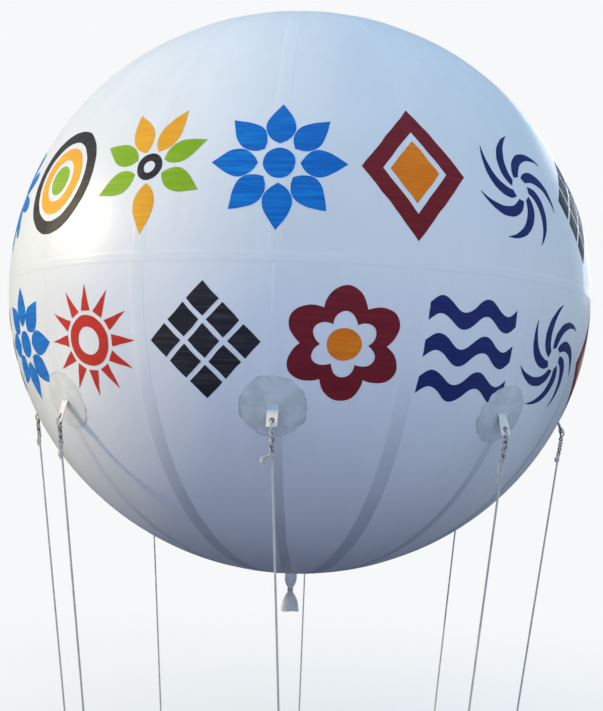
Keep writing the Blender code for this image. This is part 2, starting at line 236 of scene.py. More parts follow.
class Look(Nodes):
    """A node group that finishes share. It puts out a Colour, a Roughness and a Height."""

    def __init__(self, name, inputs):
        super().__init__(bpy.data.node_groups.new(name, "ShaderNodeTree"))
        sockets = self.tree.interface
        for title, value in inputs.items():
            kind = "NodeSocketColor" if isinstance(value, tuple) else "NodeSocketFloat"
            sockets.new_socket(title, in_out="INPUT", socket_type=kind).default_value = value
        for title, kind in (("Colour", "Color"), ("Roughness", "Float"), ("Height", "Float")):
            sockets.new_socket(title, in_out="OUTPUT", socket_type="NodeSocket" + kind)
        self.given = self.tree.nodes.new("NodeGroupInput").outputs
        coordinates = self.put("TexCoord").outputs
        self.place, self.uv = coordinates["Object"], coordinates["UV"]

    def put_out(self, colour, roughness, height):
        """Wires the group's outputs."""
        result = self.tree.nodes.new("NodeGroupOutput").inputs
        for title, value in (("Colour", colour), ("Roughness", roughness), ("Height", height)):
            self.tree.links.new(value, result[title])

    def finish(self, name, values, depth, shader):
        """A Principled material with this look. A Height of 1 stands for depth, in metres."""
        material = bpy.data.materials.new(name)
        material.use_nodes = True
        nodes = Nodes(material.node_tree)
        surface = nodes.tree.nodes["Principled BSDF"].inputs
        look = nodes.put("Group", values, node_tree=self.tree).outputs
        relief = {"Height": look["Height"], "Distance": depth, "Strength": 1.0}
        nodes.tree.links.new(look["Colour"], surface["Base Color"])
        nodes.tree.links.new(look["Roughness"], surface["Roughness"])
        nodes.tree.links.new(nodes.put("Bump", relief).outputs["Normal"], surface["Normal"])
        for title, value in shader.items():
            surface[title].default_value = value
        return material


# What film shows: clouded tone, faint rain streaks and dust, and weld puckers beside the seams
film_look = look = Look("film_surface", {
    "Film": (0.8, 0.8, 0.8, 1), "Cloud": (0.7, 0.7, 0.7, 1), "Dust": (0.5, 0.5, 0.5, 1),
    "Dustiness": 0.1, "Gloss": 0.25, "Puckers": 1.0, "Cloud scale": 1.3,
})
place, given = look.place, look.given
x, y, z = look.axes(place)
clouds = look.ramp(look.noise(place, given["Cloud scale"], 3), 0.36, 0.64)
streaks = look.noise(place, 1.0, 4, (13, 13, 0.8))
specks = look.ramp(look.noise(place, 90, 2), 0.74, 0.84)
dust = look.maths("MULTIPLY_ADD", specks, 2.0, look.ramp(streaks, 0.42, 0.75))
dust = look.times(dust, given["Dustiness"])
tone = look.mixed(clouds, given["Film"], given["Cloud"])
gloss = look.maths("MULTIPLY_ADD", streaks, 0.16, given["Gloss"])
ring = look.hypot(x, y)
turn = look.maths("ARCTAN2", x, look.times(y, -1.0))
turn = look.maths("DIVIDE", turn, gore_angle)
beside = look.times(look.maths("PINGPONG", turn, 0.5), look.times(ring, gore_angle))
climb = look.maths("ARCTAN2", z, ring)
places = {0: look.times(beside, 6.0), 1: look.times(climb, 52.0), 2: look.maths("ROUND", turn)}
puckers = look.noise(look.put("CombineXYZ", places).outputs[0], 1.0, 1)
puckers = look.times(puckers, look.ramp(beside, 0.015, 0.105, 1.0, 0.0))
grain = look.times(look.noise(place, 9, 2), 0.7)
grain = look.maths("MULTIPLY_ADD", look.noise(place, 160, 2), 0.03, grain)
look.put_out(
    look.mixed(dust, tone, given["Dust"]),
    look.maths("MULTIPLY_ADD", specks, 0.2, gloss),
    look.maths("MULTIPLY_ADD", puckers, given["Puckers"], grain),
)

glossy = {"Coat Weight": 0.15, "Coat Roughness": 0.15, "IOR": 1.5}
white_film = film_look.finish("white_film", {
    "Film": (0.83, 0.84, 0.85, 1), "Cloud": (0.80, 0.81, 0.82, 1), "Dust": (0.56, 0.56, 0.54, 1),
    "Dustiness": 0.07, "Gloss": 0.30,
}, 0.0010, glossy)

panel_columns = 16
panel_rows = 42
for half, side in (("upper", 1), ("lower", -1)):
    latitudes = side * np.linspace(0.0, tip_latitude, panel_rows)[:, None]
    for number in range(gore_count):
        longitudes = (number + np.linspace(0, 1, panel_columns + 1)[None, :]) * gore_angle
        outer = film_place(latitudes, longitudes)
        inner = film_place(latitudes, longitudes, -film_thickness)
        mesh = mesh_of(f"{half}_panel", [sheet_skin(outer, inner)])
        node = f"{half}_gore_{number + 1:02d}"
        add_piece(f"{half}_panel_{number + 1:02d}", mesh, [white_film], [node])

# ---------------------------------------------------------------------------- Seams
# Each seam is a lap weld, 45 to 68 mm wide, with a thinner flap beside the weld. The two films
# lie one on the other there, so it lets less light through and looks darker from below.

# What a weld shows: the iron's pressed lines and knurl, and below a height the double films'
# painted shade
weld_look = look = Look("weld_surface", {
    "Film": (0.8, 0.8, 0.8, 1), "Double in shade": (0.6, 0.6, 0.6, 1),
    "Top of shade": 0.3, "Foot of shade": -0.5, "Line pitch": 0.016,
})
place, given = look.place, look.given
x, _, z = look.axes(place)
across, along, _ = look.axes(look.uv)
# Painted shade: the doubled films are drawn darker below a height, as they let less light through
shade = look.ramp(z, given["Foot of shade"], given["Top of shade"], 1.0, 0.0)
# On the sunny side the light evens the two tones out
shade = look.times(shade, look.ramp(x, -0.35, -0.85, 1.0, 0.45))
shade = look.times(shade, look.ramp(look.noise(place, 7, 3), 0.1, 0.7, 0.72, 1.0))
lines = look.ramp(look.maths("PINGPONG", across, given["Line pitch"]), 0.0012, 0.0026, 1.0, 0.0)
knurl = look.maths("ABSOLUTE", look.maths("SINE", look.times(along, 1300.0)))
pressed = look.times(lines, look.maths("MULTIPLY_ADD", knurl, 0.5, 0.5))
look.put_out(
    look.mixed(shade, given["Film"], given["Double in shade"]),
    look.maths("MULTIPLY_ADD", lines, 0.12, 0.30),
    look.maths("SUBTRACT", look.noise(look.uv, 1.0, 2, (20, 55, 1)), pressed),
)
lap_film = weld_look.finish("welded_lap", {
    "Film": (0.815, 0.825, 0.835, 1), "Double in shade": (0.55, 0.57, 0.60, 1),
    "Top of shade": -0.35, "Foot of shade": -1.20, "Line pitch": 0.0155,
}, 0.0003, glossy)

# Across an upper lap: (place from its middle, height over the film), in metres
lap_section = np.array((
    (-0.0310, 0.0001), (-0.0290, 0.0004), (-0.0155, 0.0005), (0.0000, 0.0005), (0.0100, 0.0005),
    (0.0120, 0.0003), (0.0215, 0.0003), (0.0290, 0.0003), (0.0310, 0.0001),
))
offsets, lifts = lap_section.T[:, None, :]
upper_half_width = 0.031
upper_flatness = 0.6
# From lug 1 round: each lower lap's half width, and how far it stands off the panels' joint. The
# laps behind the lugs are the narrower ones.
lower_laps = (
    (0.0225, 0.014), (0.034, -0.001), (0.0225, 0.014), (0.032, -0.004), (0.024, 0.006),
    (0.033, 0.005), (0.0225, -0.008), (0.031, 0.003), (0.023, 0.010), (0.034, -0.006),
    (0.0225, 0.004), (0.032, 0.002), (0.024, -0.009), (0.033, 0.004), (0.0225, -0.003),
    (0.034, -0.008),
)
lap_rows = 64
lap_rim = 0.025
lap_foot = -0.0004
lap_start, lap_end = 0.004, tip_latitude - 0.01
wander_height = 0.0007
lap_taper_radius = 0.30
# What lies over a seam rises: from how far off its middle, over what width, and how high
seam_reach = 0.043
seam_slope = 0.007
seam_rise = 0.0005
wander = np.random.default_rng(7)
climb = np.linspace(lap_start, lap_end, lap_rows)[:, None]
for half, side, flatness in (("upper", 1, upper_flatness), ("lower", -1, 1.0)):
    rings = equator_radius * np.cos(climb)
    for number in range(gore_count):
        edge = wander_height * wander.standard_normal((lap_rows, 1))
        edge = (edge + np.roll(edge, 1, axis=0) + np.roll(edge, 2, axis=0)) / 2
        half_width, off_joint = lower_laps[number] if half == "lower" else (upper_half_width, 0.0)
        places = offsets * half_width / upper_half_width + off_joint
        places = places * np.minimum(1.0, rings / lap_taper_radius)
        places = places + edge * (np.abs(offsets) > lap_rim)
        longitudes = number * gore_angle + places / rings
        outer = film_place(side * climb, longitudes, lifts * flatness)
        inner = film_place(side * climb, longitudes, lap_foot)
        uv = np.stack(np.broadcast_arrays(offsets, climb * meridian_radius), axis=-1)
        mesh = mesh_of(f"{half}_seam", [sheet_skin(outer, inner, uv)])
        add_piece(f"{half}_seam_{number + 1:02d}", mesh, [lap_film])


def seam_bulge(latitude, longitude):
    """1 over a seam's lap and 0 beside it: what lies over a seam rises there."""
    turn = longitude / gore_angle
    off = np.abs(turn - np.round(turn)) * gore_angle * equator_radius * np.cos(latitude)
    return np.clip((seam_reach - off) / seam_slope, 0.0, 1.0)


def over_seams(latitude, longitude, lift):
    """Points of what lies on the film and climbs over the seams."""
    rise = seam_rise * seam_bulge(latitude, longitude)
    return film_place(latitude, longitude, lift + rise)


# ---------------------------------------------------------------------------- Equator band
# The upper and the lower gores meet at the equator under a welded tape, 48 mm high, that runs
# once round over the seams and is lapped on itself.

# The tape is painted a little darker towards its foot, as painted shade like that of the laps
band_film = weld_look.finish("band_tape", {
    "Film": (0.83, 0.84, 0.85, 1), "Double in shade": (0.81, 0.82, 0.83, 1),
    "Top of shade": 0.05, "Foot of shade": -0.05, "Line pitch": 0.0105,
}, 0.0002, glossy)

# Up the tape: (place from the equator, height over the film), in metres
band_section = np.array((
    (-0.0240, 0.0001), (-0.0215, 0.0004), (-0.0120, 0.0005), (0.0, 0.0005), (0.0120, 0.0005),
    (0.0215, 0.0004), (0.0240, 0.0001),
))
heights, lifts = band_section.T[:, :, None]
band_foot = -0.0003
# Places across a gore, as shares of it, closer where the tape climbs over a seam
gore_steps = np.array([0.0, 0.030, 0.060, 0.072, 0.11, 0.18, 0.26, 0.34, 0.42])
gore_steps = np.concatenate([gore_steps, [0.5], 1 - gore_steps[:0:-1]])
longitudes = (np.arange(gore_count)[:, None] + gore_steps).ravel()[None, :] * gore_angle
# The hand that led the tape wavered by about a millimetre
wave = 0.0009 * np.sin(11 * longitudes) + 0.0006 * np.sin(37 * longitudes + 1)
latitudes = (heights + wave) / pole_radius
outer = over_seams(latitudes, longitudes, lifts)
inner = film_place(latitudes, longitudes, band_foot)
around = np.append(longitudes, 2 * math.pi) * equator_radius
up = np.concatenate([heights, heights[::-1]])
uv = np.stack(np.broadcast_arrays(up, around[None, :]), axis=-1)
mesh = mesh_of("equator_tape", [skin(np.concatenate([outer, inner[::-1]]), uv, wrap_rows=True)])
add_piece("equator_tape", mesh, [band_film], ["equator_band"])

# ---------------------------------------------------------------------------- Polar caps
# A welded disc of film closes each pole over the gores' tips. The rim is cut by hand, and the
# gathers under it telegraph through. The lower disc has a hole for the filling neck.

neck_hole = 0.032
disc_lift = 0.0016
disc_over_seams = 0.16


def full_turn(count):
    """Evenly spaced angles, once round."""
    return np.linspace(0, 2 * math.pi, count, endpoint=False)


rim_radii = [0.165, 0.176, 0.182, 0.188, 0.197, 0.1995, cap_radius]
rim_lifts = (0.0012, 0.0009, 0.0012, 0.0015, 0.0013, 0.0004)
turns = full_turn(160)[None, :]
# The rim's cut, as a share of the radius
cut = 0.008 * np.sin(9 * turns + 1) + 0.006 * np.sin(16 * turns) + 0.004 * np.sin(31 * turns)
discs = (("top_disc", 1, 0.0, "top_cap"), ("foot_disc", -1, neck_hole, "bottom_cap"))
for name, side, hole, node in discs:
    radii = np.concatenate([np.linspace(hole, 0.150, 10), rim_radii])[:, None]
    lifts = np.full(radii.shape, disc_lift)
    lifts[-6:, 0] = rim_lifts
    reach = radii * (1 + cut * (radii / cap_radius) ** 6)
    latitudes = side * np.arccos(reach / equator_radius)
    longitudes = np.broadcast_to(turns, latitudes.shape)
    rise = seam_rise * seam_bulge(latitudes, longitudes) * (radii > disc_over_seams)
    outer = film_place(latitudes, longitudes, lifts + rise)
    inner = film_place(latitudes, longitudes)
    mesh = mesh_of(name, [sheet_skin(outer, inner, ring=True)])
    add_piece(name, mesh, [white_film], [node])

# ---------------------------------------------------------------------------- Painted design
# Two belts of large plain figures are painted on the film by hand, one figure to a seam in the
# upper belt and one to a gore in the lower. The paint is a thin coat, a little duller than film.

paint_lift = 0.0009
paint_foot = 0.0001
paint_cell = 0.030
paint_edge_step = 0.012
hand_wobble = 0.0013
hand_tremor = 0.0006


def mesh_from(bm, name, sharp=35):
    """A smooth mesh with what the bmesh holds, which is freed."""
    mesh = bpy.data.meshes.new(name)
    bm.to_mesh(mesh)
    bm.free()
    return smoothed(mesh, sharp)


def flat_fill(loops, cuts):
    """A flat bmesh that fills closed loops, each inner one a hole, cut into cells."""
    curve = bpy.data.curves.new("outline", "CURVE")
    curve.dimensions = "2D"
    curve.fill_mode = "BOTH"
    for loop in loops:
        spline = curve.splines.new("POLY")
        spline.points.add(len(loop) - 1)
        corners = np.column_stack([loop, np.zeros(len(loop)), np.ones(len(loop))])
        spline.points.foreach_set("co", corners.astype(np.float32).ravel())
        spline.use_cyclic_u = True
    holder = bpy.data.objects.new("outline", curve)
    bpy.context.scene.collection.objects.link(holder)
    bpy.context.view_layer.update()
    graph = bpy.context.evaluated_depsgraph_get()
    mesh = bpy.data.meshes.new_from_object(holder.evaluated_get(graph))
    bpy.data.objects.remove(holder)
    bm = bmesh.new()
    bm.from_mesh(mesh)
    bpy.data.meshes.remove(mesh)
    bmesh.ops.remove_doubles(bm, verts=bm.verts[:], dist=1e-6)
    for axis, values in enumerate(cuts):
        way = Vector((1 - axis, axis, 0))
        for value in values:
            geometry = bm.verts[:] + bm.edges[:] + bm.faces[:]
            bmesh.ops.bisect_plane(bm, geom=geometry, plane_co=way * float(value), plane_no=way)
    return bm


def thickened(bm, placing, top, foot):
    """Turns a flat bmesh into a closed sheet, its faces placed by placing(x, y, top or foot)."""
    grown = bmesh.ops.extrude_face_region(bm, geom=bm.faces[:], use_keep_orig=True)
    upper = [v for v in grown["geom"] if isinstance(v, bmesh.types.BMVert)]
    raised = set(upper)
    lower = [v for v in bm.verts if v not in raised]
    for group, lift in ((upper, top), (lower, foot)):
        flat = np.array([v.co[:2] for v in group])
        for vertex, point in zip(group, placing(flat[:, 0], flat[:, 1], lift)):
            vertex.co = point
    bmesh.ops.recalc_face_normals(bm, faces=bm.faces[:])


def on_film(x, y, lift, latitude, longitude, stretch=1.0):
    """Points over the film and its seams: x along the parallel and y up the meridian."""
    latitudes = latitude + y * stretch / meridian_radius
    longitudes = longitude + x / (equator_radius * np.cos(latitudes))
    return over_seams(latitudes, longitudes, lift)


def circle(x, y, radius, count=56):
    """A circle about (x, y), as a loop of points."""
    turns = full_turn(count)
    return np.column_stack([x + radius * np.cos(turns), y + radius * np.sin(turns)])


def polar(angles, radii):
    """Points by their angle, clockwise from the top, and their distance from the centre."""
    return np.column_stack([radii * np.sin(angles), radii * np.cos(angles)])


def petal(angle, near, far, half_width, blunt=0.75):
    """A leaf or petal that points away from the figure's centre."""
    share = np.linspace(0, 1, 14)
    width = half_width * np.sin(math.pi * share**blunt)
    along = near + (far - near) * share
    side = np.concatenate([width, -width[-2:0:-1]])
    along = np.concatenate([along, along[-2:0:-1]])
    sine, cosine = math.sin(angle), math.cos(angle)
    return np.column_stack([along * sine + side * cosine, along * cosine - side * sine])


def lozenge(x, y, half_width, half_height):
    corners = ((0, half_height), (half_width, 0), (0, -half_height), (-half_width, 0))
    return np.array([(x + right, y + up) for right, up in corners])


def rosette(petals, near, far, half_width, heart):
    loops = [petal(angle, near, far, half_width) for angle in full_turn(petals)]
    return loops + [circle(0, 0, heart, 32)]


def pinwheel(blades, near, far, sweep):
    loops = []
    share = np.linspace(0, 1, 16)
    radii = near + (far - near) * share
    for turn in full_turn(blades):
        lead = turn + sweep * share
        back = lead - 0.62 * 2 * math.pi / blades * (1 - share**1.6) - 0.02
        loops.append(np.concatenate([polar(lead, radii), polar(back, radii)[::-1]]))
    return loops


def waves(count, half_width, thickness, swing, spacing):
    along = np.linspace(-half_width, half_width, 40)
    middle = swing * np.sin(2 * math.pi * along / half_width)
    top, foot = (np.column_stack([along, middle + side * thickness / 2]) for side in (1, -1))
    loop = np.concatenate([top, foot[::-1]])
    return [loop + (0, (k - (count - 1) / 2) * spacing) for k in range(count)]


def sun(near, far, rays, half_width):
    ray = np.array((-half_width, 0.0, half_width))
    return [polar(turn + ray, np.array((near, far, near))) for turn in full_turn(rays)]


def lobed(radius, depth, lobes):
    turns = full_turn(96)
    return polar(turns, radius + depth * np.abs(np.cos(lobes * turns / 2)))


def by_hand(loop, seed):
    """The loop as a painter's hand leaves it, with a wobble of about a millimetre.

    Points are added first, so that straight edges bend with the film."""
    points = []
    for first, second in zip(loop, np.roll(loop, -1, axis=0)):
        count = max(1, int(np.linalg.norm(second - first) / paint_edge_step))
        points += [first + (second - first) * k / count for k in range(count)]
    loop = np.array(points)
    x, y = loop.T
    wobble = [np.sin(31 * x + 17 * y + seed), np.sin(29 * y - 23 * x + 2 * seed)]
    tremor = [np.sin(97 * y + 3 * seed), np.sin(89 * x + 5 * seed)]
    return loop + hand_wobble * np.column_stack(wobble) + hand_tremor * np.column_stack(tremor)


# Paints, by name: colour, and the thinner tone where the brush has spread them
paints = {
    "sky_blue": ((0.0, 0.14, 0.53, 1), (0.002, 0.27, 0.74, 1)),
    "maroon": ((0.18, 0.009, 0.015, 1), (0.26, 0.018, 0.026, 1)),
    "amber": ((0.84, 0.37, 0.018, 1), (0.95, 0.48, 0.03, 1)),
    "orange": ((0.86, 0.20, 0.005, 1), (0.97, 0.29, 0.015, 1)),
    "navy": ((0.011, 0.020, 0.125, 1), (0.019, 0.036, 0.18, 1)),
    "red": ((0.56, 0.021, 0.011, 1), (0.70, 0.038, 0.022, 1)),
    "charcoal": ((0.014, 0.014, 0.018, 1), (0.05, 0.045, 0.052, 1)),
    "leaf_green": ((0.23, 0.42, 0.012, 1), (0.32, 0.52, 0.026, 1)),
}

lattice_places = [
    (x * 0.086, y * 0.092)
    for x in range(-2, 3) for y in range(-2, 3)
    if (x + y) % 2 == 0 and abs(x) + abs(y) < 4
]
# Figures, by name: the paint and the loops of each of their coats, centred on the figure
figures = {
    "rosette": [("sky_blue", rosette(8, 0.088, 0.285, 0.062, 0.068))],
    "framed_lozenge": [
        ("maroon", [lozenge(0, 0, 0.235, 0.30), lozenge(0, 0, 0.145, 0.185)]),
        ("orange", [lozenge(0, 0, 0.112, 0.143)]),
    ],
    "pinwheel": [("navy", pinwheel(7, 0.055, 0.265, 0.95))],
    "leaf_fan": [
        ("leaf_green", [petal(a, 0.075, 0.275, 0.050) for a in (-1.15, 1.15, -2.0, 2.0)]),
        ("amber", [petal(a, 0.075, 0.295, 0.052) for a in (-0.42, 0.42, math.pi)]),
        ("charcoal", [circle(0, 0, 0.062, 40), circle(0, 0, 0.028, 24)]),
    ],
    "ripples": [("navy", waves(3, 0.235, 0.078, 0.034, 0.165))],
    "sun": [
        ("red", [circle(0, 0, 0.118), circle(0, 0, 0.066, 40)] + sun(0.140, 0.262, 12, 0.20)),
    ],
    "lattice": [("charcoal", [lozenge(x, y, 0.070, 0.076) for x, y in lattice_places])],
    "lobed_ring": [
        ("maroon", [lobed(0.180, 0.075, 6), lobed(0.100, 0.045, 6)]),
        ("orange", [circle(0, 0, 0.072, 40)]),
    ],
    "rings": [
        ("charcoal", [circle(0, 0, 0.250), circle(0, 0, 0.190)]),
        ("amber", [circle(0, 0, 0.160), circle(0, 0, 0.100)]),
        ("leaf_green", [circle(0, 0, 0.070, 40)]),
    ],
    "drops": [
        ("red", [petal(a, 0.05, 0.28, 0.066, blunt=1.5) for a in (0.0, 2.094, 4.189)]),
        ("amber", [petal(a, 0.08, 0.23, 0.040, blunt=1.5) for a in (1.047, math.pi, 5.236)]),
    ],
    "wide_star": [("sky_blue", [lobed(0.110, 0.155, 10), circle(0, 0, 0.062, 36)])],
}

# Belts: the latitude of their figures' centres, how far the first one stands from lug 1 in gores,
# how far their height is stretched and, from that first one round to half way, their names
belts = (
    ("upper", math.radians(15.5), -4.0, 1.04, (
        "drops", "wide_star", "rings", "leaf_fan", "rosette", "framed_lozenge", "pinwheel",
        "lattice",
    )),
    ("lower", math.radians(-13.6), -3.5, 0.96, (
        "ripples", "rosette", "sun", "lattice", "lobed_ring", "ripples", "pinwheel",
        "framed_lozenge",
    )),
)

# What paint shows: the brush's strokes, and clouds where it is thinner
look = Look("brushed_paint", {"Paint": (0.5, 0.5, 0.5, 1), "Thin": (0.6, 0.6, 0.6, 1)})
strokes = look.noise(look.place, 1.0, 3, (5, 5, 75))
clouds = look.noise(look.place, 6, 3)
thin = look.times(look.ramp(strokes, 0.35, 0.75), look.ramp(clouds, 0.3, 0.7, 0.35, 1.0))
look.put_out(
    look.mixed(thin, look.given["Paint"], look.given["Thin"]),
    look.ramp(clouds, 0.3, 0.7, 0.42, 0.58),
    strokes,
)
dull = {"Specular IOR Level": 0.22, "IOR": 1.45}
paint_finish = {
    name: look.finish(f"{name}_paint", {"Paint": colour, "Thin": thinner}, 0.0003, dull)
    for name, (colour, thinner) in paints.items()
}

up_cuts = np.arange(-10, 11) * paint_cell
# Closer where a figure climbs over its own seam
across_cuts = np.sort(np.concatenate([up_cuts, (-0.043, -0.036, 0.036, 0.043)]))
for belt, latitude, start, stretch, names in belts:
    for number in range(gore_count):
        coats = figures[names[number % len(names)]]
        centre = latitude, (start + number) * gore_angle, stretch
        whole = bmesh.new()
        for coat, (paint, loops) in enumerate(coats):
            bm = flat_fill([by_hand(loop, number + coat) for loop in loops], (across_cuts, up_cuts))
            thickened(bm, lambda x, y, lift: on_film(x, y, lift, *centre), paint_lift, paint_foot)
            for face in bm.faces:
                face.material_index = coat
            layer = bpy.data.meshes.new("coat")
            bm.to_mesh(layer)
            bm.free()
            whole.from_mesh(layer)
            bpy.data.meshes.remove(layer)
        mesh = mesh_from(whole, f"{belt}_figure")
        finishes = [paint_finish[paint] for paint, _ in coats]
        add_piece(f"{belt}_figure_{number + 1:02d}", mesh, finishes)

# ---------------------------------------------------------------------------- Lug patches
# A round patch of double film is welded over every second seam. Its edge is cut by hand, and it
# creases a little where the strap pulls at it.

patch_radius = 0.1425
patch_foot = 0.0001
# The rim's cut, as waves round it: (how many, height as a share of the radius)
rim_waves = ((2, 0.010), (5, 0.014), (8, 0.013), (13, 0.011), (22, 0.007), (35, 0.004))
pressed_from = 0.13
weld_from = 0.1370
crease_count = 16
crease_heights = (-0.0006, 0.0009, 0.0012)
lowest_crease, highest_crease = -0.0007, 0.0016

# The film of most patches, and that of the one that faces the low sun and looks lighter
patch_films = [
    film_look.finish(name, {
        "Film": film, "Cloud": cloud, "Dust": (0.45, 0.46, 0.44, 1), "Dustiness": 0.12,
        "Gloss": 0.30, "Puckers": 0.5, "Cloud scale": 16.0,
    }, 0.0010, glossy)
    for name, film, cloud in (
        ("patch_film", (0.71, 0.725, 0.735, 1), (0.60, 0.63, 0.60, 1)),
        ("patch_film_in_sun", (0.785, 0.785, 0.77, 1), (0.70, 0.715, 0.68, 1)),
    )
]
patch_rim = film_look.finish("patch_weld", {
    "Film": (0.52, 0.545, 0.58, 1), "Cloud": (0.69, 0.71, 0.725, 1),
    "Dust": (0.28, 0.28, 0.28, 1), "Dustiness": 0.35, "Gloss": 0.35, "Puckers": 0.5,
    "Cloud scale": 34.0,
}, 0.0010, glossy)

rim_rings = (0.1265, 0.1315, 0.1355, 0.1385, 0.1405, 0.1420, patch_radius)
rings = np.concatenate([np.linspace(0.0, 0.120, 16), rim_rings])[:, None]
ring_lifts = np.full(rings.shape, 0.0015)
ring_lifts[-5:, 0] = (0.0012, 0.0010, 0.0013, 0.0011, 0.0004)
turns = full_turn(144)
creases = np.random.default_rng(21)
for number in range(lug_count):
    cut = sum(
        depth * np.sin(lobes * turns + creases.uniform(0, 2 * math.pi))
        for lobes, depth in rim_waves
    )
    # The iron has pressed the rim down more in some places than in others
    pressed = 0.65 + 0.35 * np.sin(3 * turns + number) * np.sin(5 * turns + 2 * number)
    radii = rings * (1 + cut * (rings / patch_radius) ** 4)
    fold = np.zeros_like(radii)
    for _ in range(crease_count):
        # A crease runs inwards from near the rim and fades out
        turn, spread = creases.uniform(0, 2 * math.pi), creases.uniform(0.03, 0.09)
        middle, reach = creases.uniform(0.085, 0.125), creases.uniform(0.012, 0.032)
        off = half_turned(turns - turn - creases.uniform(-6, 6) * (rings - middle))
        height = creases.choice(crease_heights)
        fold += height * np.exp(-((off / spread) ** 2) - ((rings - middle) / reach) ** 2)
    x, y = radii * np.sin(turns), radii * np.cos(turns)
    centre = lug_latitude, number * lug_angle
    lifts = ring_lifts * np.where(rings > pressed_from, pressed, 1.0)
    outer = on_film(x, y, lifts + np.clip(fold, lowest_crease, highest_crease), *centre)
    inner = on_film(x, y, patch_foot, *centre)
    mesh = mesh_of("lug_patch", [sheet_skin(outer, inner, ring=True)])
    finishes = [patch_films[number == lug_count - 1], patch_rim]
    add_piece(f"lug_patch_{number + 1}", mesh, finishes, [f"lug_{number + 1}"])
    middle = Vector(outer[0, 0])
    in_rim = [(polygon.center - middle).length > weld_from for polygon in mesh.polygons]
    mesh.polygons.foreach_set("material_index", np.array(in_rim, np.int32))

# ---------------------------------------------------------------------------- Lug straps
# Each strap is a doubled strip of reinforced film, 50 mm wide. Its foot is welded to the patch
# with two bars of the sealing iron, and its free end hangs clear with a brass eyelet in it.

strap_half = 0.025
strap_thickness = 0.0036
strap_lift = 0.0030
strap_length = 0.078
strap_root = Vector((0.0, -1.385130, -0.619029))
strap_hang = Vector((0.0, -math.sin(math.radians(23)), -math.cos(math.radians(23))))
strap_corner = 0.003
strap_cell = 0.0015
foot_top, foot_end = 0.0145, -0.0135
foot_rise = 0.004
strap_edge = 0.0016
strap_bow = 0.0015
strap_cup = 0.0012
twist_start, twist_length = 0.020, 0.050
foot_bars = (0.0034, 0.0150)
bar_depth = 0.0008
bar_spread = 0.0018
bar_half = 0.0013
eyelet_from_end = 0.028
eyelet_hole = 0.0092
# From lug 1 round: how far the foot has peeled, how much lower the end hangs, and its twist
strap_habits = (
    (0.000, 0.000, 16), (0.016, 0.010, 13), (0.004, 0.002, -5), (0.000, 0.000, -9),
    (0.010, 0.004, 4), (0.003, 0.000, -8), (0.008, 0.003, 3), (0.018, 0.014, 5),
)

strap_film = film_look.finish("strap_film", {
    "Film": (0.82, 0.81, 0.79, 1), "Cloud": (0.78, 0.76, 0.73, 1), "Dust": (0.50, 0.46, 0.40, 1),
    "Dustiness": 0.16, "Gloss": 0.52, "Puckers": 0.0, "Cloud scale": 30.0,
}, 0.0008, {"Specular IOR Level": 0.25})
strap_weld = film_look.finish("strap_weld", {
    "Film": (0.64, 0.71, 0.77, 1), "Cloud": (0.70, 0.76, 0.81, 1), "Dust": (0.5, 0.52, 0.55, 1),
    "Dustiness": 0.2, "Gloss": 0.22, "Puckers": 0.0,
}, 0.0006, {"Coat Weight": 0.3, "IOR": 1.5})


def run_along(points):
    """How far along their line each of the points is."""
    return np.append(0.0, np.cumsum(np.linalg.norm(np.diff(points, axis=0), axis=1)))


def sampled(table, run, places):
    """A table whose rows stand at the values of run, read off at other places."""
    return np.column_stack([np.interp(places, run, column) for column in table.T])


def smooth_route(points, spacing):
    """Evenly spaced points on a smooth curve through the given ones."""
    points = np.array([tuple(p) for p in points], float)
    ends = np.vstack([2 * points[0] - points[1], points, 2 * points[-1] - points[-2]])
    share = np.linspace(0, 1, 13)[:-1, None]
    pieces = []
    for before, first, second, after in zip(ends, ends[1:], ends[2:], ends[3:]):
        turn = 2 * first + (second - before) * share
        turn = turn + (2 * before - 5 * first + 4 * second - after) * share**2
        pieces.append(0.5 * (turn + (3 * first - before - 3 * second + after) * share**3))
    dense = np.vstack(pieces + [points[-1:]])
    run = run_along(dense)
    return sampled(dense, run, np.linspace(0, run[-1], max(3, round(run[-1] / spacing) + 1)))


